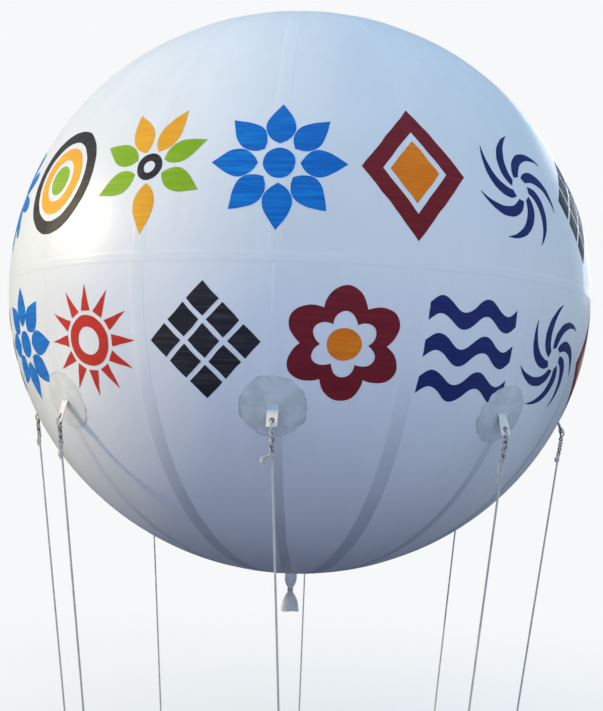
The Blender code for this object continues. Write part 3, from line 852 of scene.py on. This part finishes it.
class Strap:
    """One strap's shape, as if its lug faced -Y."""

    def __init__(self, peel, lower, twist):
        heights = (foot_top, (foot_top + foot_end + peel) / 2 + foot_rise, foot_end + peel)
        route = [Vector(on_film(0.0, y, strap_lift, lug_latitude, 0.0)) for y in heights]
        self.root = route[-1]
        free = strap_root + strap_hang * (strap_length + lower) - self.root
        face = Vector((0.0, free.z, -free.y)).normalized()
        for share in (0.14, 0.38, 0.70, 1.0):
            bow = face * strap_bow * math.sin(math.pi * share)
            route.append(self.root + free * share + bow)
        self.line = smooth_route(route, 0.002)
        self.run = run_along(self.line)
        self.length = self.run[-1]
        self.ways = np.gradient(self.line, self.run, axis=0)
        self.ways /= np.linalg.norm(self.ways, axis=1)[:, None]
        turned = np.clip((self.run - twist_start) / twist_length, 0.0, 1.0)[:, None]
        turned = math.radians(twist) * turned
        plain = np.array((1.0, 0.0, 0.0))
        outward = np.cross(plain, self.ways)
        outward = outward * -np.sign(outward[:, 1:2])
        self.across = plain * np.cos(turned) + outward * np.sin(turned)
        self.normals = outward * np.cos(turned) - plain * np.sin(turned)

    def frame_at(self, y):
        """Middle, direction across, normal and hanging direction, y metres up from the end."""
        tables = (self.line, self.across, self.normals, self.ways)
        return [sampled(table, self.run, self.length - np.atleast_1d(y)) for table in tables]

    def place(self, x, y, lift):
        """Points on the strap: x across it and y up from its end."""
        middle, across, normal, _ = self.frame_at(y)
        bars = sum(np.exp(-(((y - self.length + bar) / bar_spread) ** 2)) for bar in foot_bars)
        edge = np.clip((strap_half - np.abs(x)) / strap_edge, 0.0, 1.0)
        cup = (x / strap_half) ** 2 * np.clip(y / 0.05, 0, 1) * np.clip((0.08 - y) / 0.03, 0, 1)
        rise = lift * (0.55 + 0.45 * np.sqrt(1 - (1 - edge) ** 2))
        rise = rise - bar_depth * bars * (lift > 0) - strap_cup * cup
        return middle + normal * rise[:, None] + across * x[:, None]


straps = [Strap(*habits) for habits in strap_habits]
strap_cuts = np.array((0.008, 0.016, 0.0234, 0.0242, 0.0249))
strap_cuts = np.concatenate([-strap_cuts[::-1], [0.0], strap_cuts])
rounding = [
    (strap_half - strap_corner * (1 - math.sin(a)), strap_corner * (1 - math.cos(a)))
    for a in np.linspace(0, math.pi / 2, 5)
]
for number, strap in enumerate(straps):
    outline = rounding + [(strap_half, strap.length), (-strap_half, strap.length)]
    outline = np.array(outline + [(-x, y) for x, y in rounding[::-1]])
    cuts = (strap_cuts, np.arange(strap_cell, strap.length, strap_cell))
    bm = flat_fill([outline, circle(0, eyelet_from_end, eyelet_hole, 32)], cuts)
    thickened(bm, strap.place, strap_thickness / 2, -strap_thickness / 2)
    for face in bm.faces:
        height = face.calc_center_median().z
        below_top = strap.line[0][2] - height
        on_bar = min(abs(below_top - bar * 0.9) for bar in foot_bars) < bar_half
        face.material_index = int(height - strap.root.z > -0.001 and not on_bar)
    mesh = mesh_from(bm, "lug_strap", sharp=40)
    finishes, node, turn = [strap_film, strap_weld], f"lug_{number + 1}", number * lug_angle
    add_piece(f"lug_strap_{number + 1}", mesh, finishes, [node], turn)

# ---------------------------------------------------------------------------- Eyelets
# A rolled brass eyelet lines the hole in each strap: a flanged barrel on one side, set into a
# washer on the other.

look = Look("worn_metal", {"Metal": (0.5, 0.5, 0.5, 1), "Tarnish": (0.3, 0.3, 0.3, 1)})
spots = look.noise(look.place, 420, 4)
look.put_out(
    look.mixed(look.ramp(spots, 0.35, 0.65), look.given["Metal"], look.given["Tarnish"]),
    look.ramp(spots, 0.3, 0.7, 0.28, 0.5),
    look.noise(look.place, 900, 2),
)
brass_tones = {"Metal": (0.40, 0.29, 0.15, 1), "Tarnish": (0.13, 0.085, 0.05, 1)}
brass = look.finish("brass", brass_tones, 0.0001, {"Metallic": 1.0})

# The eyelet's closed section: (radius, height over the strap's middle), in metres
eyelet_section = (
    (0.0079, 0.0), (0.0079, 0.0021), (0.0083, 0.0030), (0.0092, 0.0034), (0.0105, 0.0033),
    (0.0117, 0.0027), (0.0125, 0.0020), (0.0126, 0.0016), (0.0096, 0.0016), (0.0091, 0.0010),
    (0.0091, -0.0010), (0.0096, -0.0016), (0.0130, -0.0016), (0.0130, -0.0021),
    (0.0116, -0.0028), (0.0097, -0.0032), (0.0085, -0.0029), (0.0080, -0.0021),
)
turns = full_turn(40)[:, None]
for number, strap in enumerate(straps):
    middle, across, normal, hang = (table[0] for table in strap.frame_at(eyelet_from_end))
    spokes = np.cos(turns) * across + np.sin(turns) * hang
    grid = [middle + radius * spokes + height * normal for radius, height in eyelet_section]
    mesh = mesh_of("eyelet", [skin(np.array(grid), wrap_rows=True)])
    add_piece(f"eyelet_{number + 1}", mesh, [brass], turn=number * lug_angle)

# ---------------------------------------------------------------------------- Mooring lines
# Each line is three-strand rope, 10 mm thick. It goes through the eyelet and is twisted back
# round itself, with a stopper knot in its short tail. Its foot is tied in a hand loop.

rope_radius = 0.0055
rope_lay = 0.036
strand_swell = 1.06
line_lean = math.radians(7.9)
line_foot = -2.800
bight_radius = 0.0090
bight_drop = 0.0113
hitch_drop = 0.014
hitch_length = 0.096
hitch_sway = 0.0012
twist_radius = 0.0062
front_share, back_share = 1.15, 0.85
stopper_radius = 0.0086
rider_radius = 0.0096
loop_knot_length = 0.036
loop_knot_radius = 0.0125
loop_height = 0.150
loop_width = 0.095
whipping_radius = 0.0052
whipping_cord = 0.0007

# What laid fibre shows: fine yarns, stains and wear, and painted shade: dark in the grooves between
# the strands, and in blots at the hitches
look = Look("laid_fibre", {
    "Fibre": (0.6, 0.6, 0.6, 1), "Grime": (0.3, 0.3, 0.3, 1), "Groove shade": (0.1, 0.1, 0.1, 1),
    "Fineness": 1.0,
})
place, given = look.place, look.given
height = look.axes(place)[2]
around, along, _ = look.axes(look.uv)
twist = look.maths("MULTIPLY_ADD", along, 60.0, look.times(around, -2.0))
yarns = look.maths("SINE", look.times(twist, 2 * math.pi * 6))
fibres = look.put("CombineXYZ", {0: look.times(twist, 26.0), 1: look.times(along, 45.0)})
fibres = look.noise(fibres.outputs[0], given["Fineness"], 3)
worn = look.times(look.ramp(look.noise(place, 24, 3), 0.45, 0.75), 0.50)
worn = look.maths("MULTIPLY_ADD", look.ramp(fibres, 0.55, 0.30), 0.25, worn)
tone = look.mixed(worn, given["Fibre"], given["Grime"])
# Painted shade in blots at the hitches, where the twisted legs shade each other
hitch_shade = look.times(look.ramp(height, -0.830, -0.805), look.ramp(height, -0.660, -0.690))
blots = look.ramp(look.noise(place, 55, 1), 0.40, 0.62)
blots = look.times(blots, look.ramp(along, 0.165, 0.200, 0.25, 0.95))
tone = look.mixed(look.times(hitch_shade, blots), tone, given["Groove shade"])
# Painted shade in the grooves between the strands
groove_shade = look.ramp(look.maths("PINGPONG", around, 0.5), 0.0, 0.17, 0.85, 0.0)
look.put_out(
    look.mixed(groove_shade, tone, given["Groove shade"]),
    look.ramp(fibres, 0.2, 0.8, 0.75, 0.95),
    look.maths("MULTIPLY_ADD", yarns, 0.25, fibres),
)
rope_fibre = look.finish("rope_fibre", {
    "Fibre": (0.92, 0.89, 0.84, 1), "Grime": (0.60, 0.55, 0.46, 1),
    "Groove shade": (0.11, 0.09, 0.065, 1),
}, 0.0006, {"Sheen Weight": 0.15, "Sheen Roughness": 0.5})
tie_fibre = look.finish("tie_fibre", {
    "Fibre": (0.82, 0.80, 0.74, 1), "Grime": (0.50, 0.46, 0.38, 1),
    "Groove shade": (0.22, 0.19, 0.15, 1), "Fineness": 2.0,
}, 0.0003, {"Sheen Weight": 0.2, "Sheen Roughness": 0.5})


def rope_skin(route, radius, strands=3, lay=rope_lay, per_strand=6, pinch=0.006):
    """A laid rope or cord along a route of even points: its strands turn once in each lay."""
    ways = np.gradient(route, axis=0)
    ways /= np.linalg.norm(ways, axis=1)[:, None]
    side = np.cross(ways[0], (0.31, 0.17, 0.93))
    sides = []
    for way in ways:
        side = side - way * (side @ way)
        side = side / np.linalg.norm(side)
        sides.append(side)
    sides = np.array(sides)
    fronts = np.cross(ways, sides)
    run = run_along(route)
    columns = strands * per_strand
    turns = np.arange(columns) * 2 * math.pi / columns
    off = (turns * strands / (2 * math.pi)) % 1.0 - 0.5
    off = off * 2 * math.pi / strands
    packing = math.sin(math.pi / strands)
    own = radius / (1 + packing) * packing * strand_swell
    middle = radius - own
    outline = middle * np.cos(off) + np.sqrt(np.maximum(own**2 - (middle * np.sin(off)) ** 2, 0))
    to_end = np.minimum(run, run[-1] - run)[:, None]
    reach = outline * (0.70 + 0.30 * np.clip(to_end / pinch, 0, 1) ** 0.5)
    angle = (turns + (2 * math.pi * run / lay)[:, None])[..., None]
    spokes = np.cos(angle) * sides[:, None] + np.sin(angle) * fronts[:, None]
    uv = np.broadcast_arrays(np.arange(columns + 1) / per_strand, run[:, None])
    return skin(route[:, None] + reach[..., None] * spokes, np.stack(uv, axis=-1))


def wound(top, way, start, radius, length, count, per_turn=14):
    """Points of a helix that winds down along a way from a starting side."""
    side = start.normalized()
    front = way.cross(side)
    points = []
    for step in range(int(count * per_turn) + 1):
        turn = 2 * math.pi * step / per_turn
        arm = radius * (math.cos(turn) * side + math.sin(turn) * front)
        points.append(top + way * (length * step / (count * per_turn)) + arm)
    return points


# Each line's own pull to the side in degrees, the turns of its hitch, the way its tail leaves
# it, the tail's length, and whether the tail ends in a stopper knot
line_habits = (
    (2.6, 1.80, (-0.70, -0.12, -0.70), 0.041, True),
    (0.0, 2.80, (-0.80, 0.42, -0.42), 0.088, False),
    (0.0, 2.60, (-0.74, 0.15, -0.64), 0.047, True),
    (0.0, 2.20, (-0.66, -0.40, -0.66), 0.045, True),
    (0.0, 2.75, (-0.78, -0.20, -0.60), 0.047, True),
    (0.0, 2.40, (-0.58, 0.30, -0.76), 0.048, True),
    (0.0, 3.00, (-0.76, -0.12, -0.64), 0.045, True),
    (0.0, 2.80, (-0.35, 0.30, -0.88), 0.044, True),
)
down = Vector((0.0, 0.0, -1.0))
aside = Vector((1.0, 0.0, 0.0))


def line_route(strap, sway, drift, hitch_turns, tail_way, tail_length, stopper):
    """A line's whole route from its tail's end, and the places of its stopper and whipping."""
    drift = math.tan(math.radians(drift))
    way = Vector((drift, math.sin(line_lean), -math.cos(line_lean))).normalized()
    start = strap_root + strap_hang * strap_length
    knot_z = line_foot + rope_radius + loop_height + loop_knot_length
    knot_top = start + way * ((start.z - knot_z) / -way.z)
    end, _, face, hang = (Vector(table[0]) for table in strap.frame_at(0.0))
    turn_centre = Vector(strap.frame_at(eyelet_from_end)[0][0]) + hang * bight_drop
    pull = (knot_top - end).normalized()
    hitch_top = end + pull * hitch_drop
    hitch_end = hitch_top + pull * hitch_length
    forward = Vector((0.0, -math.cos(line_lean), -math.sin(line_lean)))
    tail_way = Vector(tail_way).normalized()

    # The hitch: the two legs wound round each other, the tail's leg a little further out
    front_leg, back_leg = [], []
    for share in np.arange(45) / 44:
        turn = 2 * math.pi * (hitch_turns * share + 0.05 * math.sin(9 * share + sway))
        middle = hitch_top + pull * (hitch_length * share)
        middle = middle + aside * hitch_sway * math.sin(5.1 * share + sway)
        arm = (math.cos(turn) * forward + math.sin(turn) * aside) * twist_radius
        front_leg.append(middle + front_share * arm)
        back_leg.append(middle - back_share * arm)

    # The tail, from its end to the hitch
    bend = front_leg[-1] + tail_way * (0.011 if stopper else 0.022) + pull * 0.004
    tail_end = front_leg[-1] + tail_way * tail_length
    if stopper:
        route = [tail_end + down * d for d in (0.024, 0.012, 0.0, -0.008)]
        route += [(tail_end + down * -0.012) * 0.4 + bend * 0.6, bend]
    else:
        drops = (tail_length * k / 4 for k in (4, 3, 2, 1))
        route = [bend + down * drop + tail_way * 0.002 for drop in drops] + [bend]

    # Up the front leg, through the eyelet, down the back leg and on to the loop's knot
    route += front_leg[::-1]
    route.append(end + face * bight_radius + hang * 0.004)
    for angle in np.linspace(0, math.pi, 7):
        arm = math.cos(angle) * face - math.sin(angle) * hang
        route.append(turn_centre + bight_radius * arm)
    route.append(end - face * bight_radius + hang * 0.004)
    route += back_leg
    route += [hitch_end + pull * d for d in (0.022, 0.045, 0.075)]
    run = (knot_top - hitch_end).length
    route += [hitch_end + pull * (0.075 + (run - 0.085) * k / 24) for k in range(1, 25)]

    # The foot: down through the knot, round the hand loop, up again and three turns round both
    route += [knot_top + aside * 0.4 * rope_radius, knot_top + aside * rope_radius + down * 0.010]
    loop_top = knot_top + down * (loop_knot_length - 0.006)
    for angle in np.linspace(0, 2 * math.pi, 21):
        out = 0.65 * loop_width * math.sin(angle) * math.sin(angle / 2)
        out += 1.1 * rope_radius * math.cos(angle / 2)
        fall = (loop_height + 0.006) * (1 - math.cos(angle)) / 2
        route.append(loop_top + aside * out + down * fall)
    route.append(knot_top - aside * rope_radius + down * 0.012)
    route.append(knot_top - aside * rope_radius * 1.6 + down * 0.004)
    top, length = knot_top + down * 0.005, loop_knot_length - 0.009
    route += wound(top, down, -aside, loop_knot_radius, length, 3.25)
    last = route[-1]
    for back, fall in ((0.001, 0.046), (0.001, 0.065), (0.002, 0.107)):
        route.append(Vector((last.x, last.y - back, knot_top.z - fall)))
    return route, tail_end, route[-1]


for number, (strap, habits) in enumerate(zip(straps, line_habits)):
    route, tail_end, cut_end = line_route(strap, float(number), *habits)
    skins = [rope_skin(smooth_route(route, 0.0032), rope_radius)]
    if habits[-1]:
        # The stopper's three round turns, and the rider over them
        side = Vector((0.9, -0.4, 0.0))
        wraps = wound(tail_end - down * 0.011, down, side, stopper_radius, 0.0225, 3.0, 16)
        slant = Vector((0.35, 0.1, -0.93)).normalized()
        rider = wound(tail_end - down * 0.007, slant, -side, rider_radius, 0.014, 1.3, 16)
        skins.append(rope_skin(smooth_route(wraps, 0.0026), 0.0046, pinch=0.004))
        skins.append(rope_skin(smooth_route(rider, 0.0026), 0.0044, pinch=0.004))
    whipping = wound(cut_end - down * 0.016, down, aside, whipping_radius, 0.011, 9, 10)
    whipping = rope_skin(smooth_route(whipping, 0.0022), whipping_cord, 2, 0.004, 4, 0.001)
    mesh = mesh_of("mooring_line", skins + [(whipping, 1)], sharp=60)
    finishes, node, turn = [rope_fibre, tie_fibre], f"line_{number + 1}", number * lug_angle
    add_piece(f"mooring_line_{number + 1}", mesh, finishes, [node], turn)

# ---------------------------------------------------------------------------- Filling neck
# The gas goes in through a sleeve of the same film, welded to the foot disc by a flange. After
# filling it is gathered, folded and tied off, and its end fans out below the tie.

neck_top = -1.47415
# Down the neck: (drop, half width, half thickness, depth of the pleats), in metres
neck_rings = np.array((
    (0.0000, 0.0285, 0.0285, 0.0), (0.0000, 0.0700, 0.0700, 0.0),
    (0.0012, 0.0703, 0.0703, 0.0003), (0.0022, 0.0680, 0.0680, 0.0003),
    (0.0026, 0.0520, 0.0520, 0.0002), (0.0032, 0.0360, 0.0360, 0.0004),
    (0.0060, 0.0318, 0.0318, 0.0006), (0.0140, 0.0300, 0.0300, 0.0010),
    (0.0260, 0.0300, 0.0300, 0.0016), (0.0400, 0.0292, 0.0292, 0.0026),
    (0.0520, 0.0262, 0.0262, 0.0038), (0.0640, 0.0214, 0.0214, 0.0044),
    (0.0740, 0.0170, 0.0170, 0.0042), (0.0820, 0.0136, 0.0136, 0.0032),
    (0.0880, 0.0112, 0.0112, 0.0020), (0.0940, 0.0106, 0.0106, 0.0014),
    (0.1060, 0.0106, 0.0106, 0.0014), (0.1120, 0.0116, 0.0110, 0.0020),
    (0.1200, 0.0160, 0.0112, 0.0034), (0.1320, 0.0225, 0.0104, 0.0042),
    (0.1460, 0.0300, 0.0090, 0.0040), (0.1620, 0.0360, 0.0074, 0.0034),
    (0.1800, 0.0405, 0.0062, 0.0030), (0.1980, 0.0435, 0.0055, 0.0026),
    (0.2110, 0.0448, 0.0052, 0.0024), (0.2150, 0.0450, 0.0046, 0.0022),
    (0.2140, 0.0440, 0.0030, 0.0018), (0.2020, 0.0425, 0.0022, 0.0016),
))
fan_top = 0.13
fan_sway = 0.010
turns = full_turn(144)
run = run_along(neck_rings[:, :2])
even = np.interp(np.linspace(0, len(run) - 1, 90), np.arange(len(run)), run)
drop, half_width, half_depth, pleat = sampled(neck_rings, run, even).T[:, :, None]
pleats = np.cos(13 * turns + 0.8 * np.sin(3 * turns)) + 0.4 * np.cos(22 * turns + 1)
lean = 0.15 * np.sin(2 * turns + 20 * drop)
x = (half_width + pleat * pleats) * np.cos(turns)
y = (half_depth + pleat * (pleats * np.where(drop > 0.12, 0.8, 1.0) + lean)) * np.sin(turns)
y = y + fan_sway * np.sin(70 * x) * np.clip((drop - fan_top) / 0.05, 0, 1)
grid = np.stack([x, y, neck_top - drop + 0 * x], axis=-1)
mesh = mesh_of("filling_neck", [skin(grid)], sharp=60)
add_piece("filling_neck", mesh, [white_film], ["filler_neck"])

# ---------------------------------------------------------------------------- Neck tie
# A thin cotton cord is wound round the neck's waist and knotted in front, and its two ends hang
# down in front of the fanned film.

cord_radius = 0.0025
waist_drop = 0.100
waist_radius = 0.0138
knot = Vector((0.0, -0.0182, neck_top - waist_drop))


def cord_skin(points, radius=cord_radius, pinch=0.002):
    return rope_skin(smooth_route(points, 0.0016), radius, 2, 0.012, 5, pinch)


centre = Vector((0.0, 0.0, knot.z + 0.0075))
over = [
    Vector((0.0045 * math.cos(a), -0.0010 + 0.0025 * math.sin(2 * a), 0.0050 * math.sin(a))) + knot
    for a in np.linspace(0, 4 * math.pi, 30)
]
skins = [
    cord_skin(wound(centre, down, Vector((0.0, -1.0, 0.0)), waist_radius, 0.0150, 3.5, 18)),
    cord_skin(over, cord_radius * 0.9),
]
for way in (-1, 1):
    end = [
        knot + Vector((way * (0.3 * s - 2.0 * s * s), 3.0 * s * s - 0.45 * s, -0.82 * s))
        for s in np.linspace(0.002, 0.040, 8)
    ]
    skins.append(cord_skin(end, pinch=0.003))
mesh = mesh_of("neck_cord", skins, sharp=60)
add_piece("neck_cord", mesh, [tie_fibre], ["neck_tie"])

# ---------------------------------------------------------------------------- Studio
# A pale floor far below the balloon, a soft sky that is brightest in front, a warm light low on
# the left and a soft one behind at the right. The camera stands where the photograph's did.

backdrop = (0.93, 0.94, 0.95, 1)
floor_radius = 60.0


def nodes_for(thing):
    """An empty shader tree for a material or a world."""
    thing.use_nodes = True
    thing.node_tree.nodes.clear()
    return Nodes(thing.node_tree)


def end_tree(nodes, output, light, seen):
    """Ends a tree whose shader for the camera differs from the one that lights the balloon."""
    by_camera = nodes.put("LightPath").outputs["Is Camera Ray"]
    either = nodes.put("MixShader", {0: by_camera, 1: light.outputs[0], 2: seen.outputs[0]})
    nodes.put(output, {"Surface": either.outputs[0]})


bm = bmesh.new()
bmesh.ops.create_circle(bm, cap_ends=True, segments=96, radius=floor_radius)
bmesh.ops.translate(bm, verts=bm.verts[:], vec=(0, 0, line_foot))
floor = bpy.data.objects.new("floor", mesh_from(bm, "floor"))
bpy.context.scene.collection.objects.link(floor)
pale_floor = bpy.data.materials.new("pale_floor")
nodes = nodes_for(pale_floor)
x, y, _ = nodes.axes(nodes.put("TexCoord").outputs["Object"])
spread = nodes.hypot(x, y)
plain = nodes.put("Emission", {"Color": backdrop, "Strength": 1.0})
near = nodes.put("BsdfDiffuse", {"Color": (0.93, 0.88, 0.80, 1)})
far_share = nodes.ramp(spread, 1.0, 7.0, 0.35, 1.0)
seen = nodes.put("MixShader", {0: far_share, 1: near.outputs[0], 2: plain.outputs[0]})
# Light thrown back: the floor is painted in shade near the balloon and behind it, bright far off
ground = nodes.mixed(nodes.ramp(spread, 1.5, 7.5), (0.07, 0.077, 0.105, 1), (0.58, 0.64, 0.86, 1))
ground = nodes.mixed(nodes.ramp(y, 2.0, 5.5), ground, (0.05, 0.055, 0.075, 1))
# The tone of the light it throws back, by where it lies
for share, tone in (
    (nodes.ramp(x, -0.8, -3.0), (0.82, 0.83, 0.80, 1)),
    (nodes.ramp(x, -2.5, -6.5), (2.35, 2.05, 1.30, 1)),
    (nodes.ramp(x, 0.8, 3.0), (1.42, 1.28, 0.98, 1)),
    (nodes.ramp(y, -1.0, -4.0), (0.88, 0.89, 1.18, 1)),
):
    ground = nodes.mixed(share, ground, tone, "MULTIPLY")
end_tree(nodes, "OutputMaterial", nodes.put("BsdfDiffuse", {"Color": ground}), seen)
floor.data.materials.append(pale_floor)

world = bpy.data.worlds.new("soft_sky")
bpy.context.scene.world = world
nodes = nodes_for(world)
x, y, z = nodes.axes(nodes.put("TexCoord").outputs["Generated"])
sky = nodes.mixed(nodes.ramp(z, 0.0, 0.9), (0.50, 0.51, 0.55, 1), (0.56, 0.74, 0.93, 1))
low, high = nodes.ramp(z, 0.45, 0.10), nodes.ramp(z, 0.15, 0.50)
left, right = nodes.ramp(x, -0.2, -0.8), nodes.ramp(x, 0.2, 0.8)
front, behind = nodes.ramp(y, -0.2, -0.8), nodes.ramp(y, 0.0, 0.5)
# The sky's tone by where it stands
for share, part, tone in (
    (nodes.ramp(x, -0.1, -0.9), 1.0, (0.86, 0.81, 0.72, 1)),
    (nodes.ramp(x, 0.0, 0.8), nodes.ramp(z, -0.05, 0.45), (0.60, 0.78, 0.95, 1)),
    (left, low, (0.60, 0.75, 0.92, 1)),
    (left, high, (0.74, 0.78, 0.94, 1)),
    (right, low, (1.35, 1.25, 0.90, 1)),
    (right, high, (0.66, 0.80, 0.81, 1)),
    (front, low, (1.06, 1.11, 1.21, 1)),
    (front, high, (1.00, 0.94, 0.67, 1)),
    (nodes.ramp(z, 0.60, 0.95), 1.0, (1.15, 1.13, 1.24, 1)),
    (behind, 1.0, (0.83, 0.94, 1.07, 1)),
):
    sky = nodes.mixed(nodes.times(share, part), sky, tone, "MULTIPLY")
sky = nodes.mixed(nodes.ramp(z, -0.10, 0.02), (0.06, 0.07, 0.10, 1), sky)
power = {"Value": y, "From Min": -1.0, "From Max": 1.0, "To Min": 1.50, "To Max": 0.75}
power = nodes.put("MapRange", power).outputs["Result"]
lit = nodes.put("Background", {"Color": sky, "Strength": power})
seen = nodes.put("Background", {"Color": backdrop, "Strength": 1.0})
end_tree(nodes, "OutputWorld", lit, seen)

# Lights: name, azimuth from lug 1 and elevation in degrees, distance, width, power, colour
for name, azimuth, elevation, distance, size, power, colour in (
    ("key", -82, 18, 14.0, 0.6, 1260, (1.0, 0.82, 0.50)),
    ("rim", 150, 17, 10.0, 4.0, 130, (0.95, 0.96, 1.0)),
):
    lamp = bpy.data.lights.new(name, "AREA")
    lamp.size = size
    lamp.energy = power
    lamp.color = colour
    light = bpy.data.objects.new(name, lamp)
    turn, rise = math.radians(azimuth), math.radians(elevation)
    level = distance * math.cos(rise)
    spot = (math.sin(turn) * level, -math.cos(turn) * level, math.sin(rise) * distance)
    light.location = spot
    light.rotation_euler = (-Vector(spot)).to_track_quat("-Z", "Y").to_euler()
    bpy.context.scene.collection.objects.link(light)

camera_data = bpy.data.cameras.new("camera")
camera_data.lens = 55.6
camera_data.sensor_width = 36.0
camera = bpy.data.objects.new("camera", camera_data)
camera.location = (0.4146, -5.9140, -0.631)
heading, pitch, roll = math.radians(3.82), math.radians(3.01), math.radians(1.84)
pose = Matrix.Rotation(heading, 4, "Z") @ Matrix.Rotation(math.pi / 2 + pitch, 4, "X")
camera.rotation_euler = (pose @ Matrix.Rotation(roll, 4, "Z")).to_euler()
bpy.context.scene.collection.objects.link(camera)
bpy.context.scene.camera = camera
bpy.context.scene.view_settings.view_transform = "Standard"
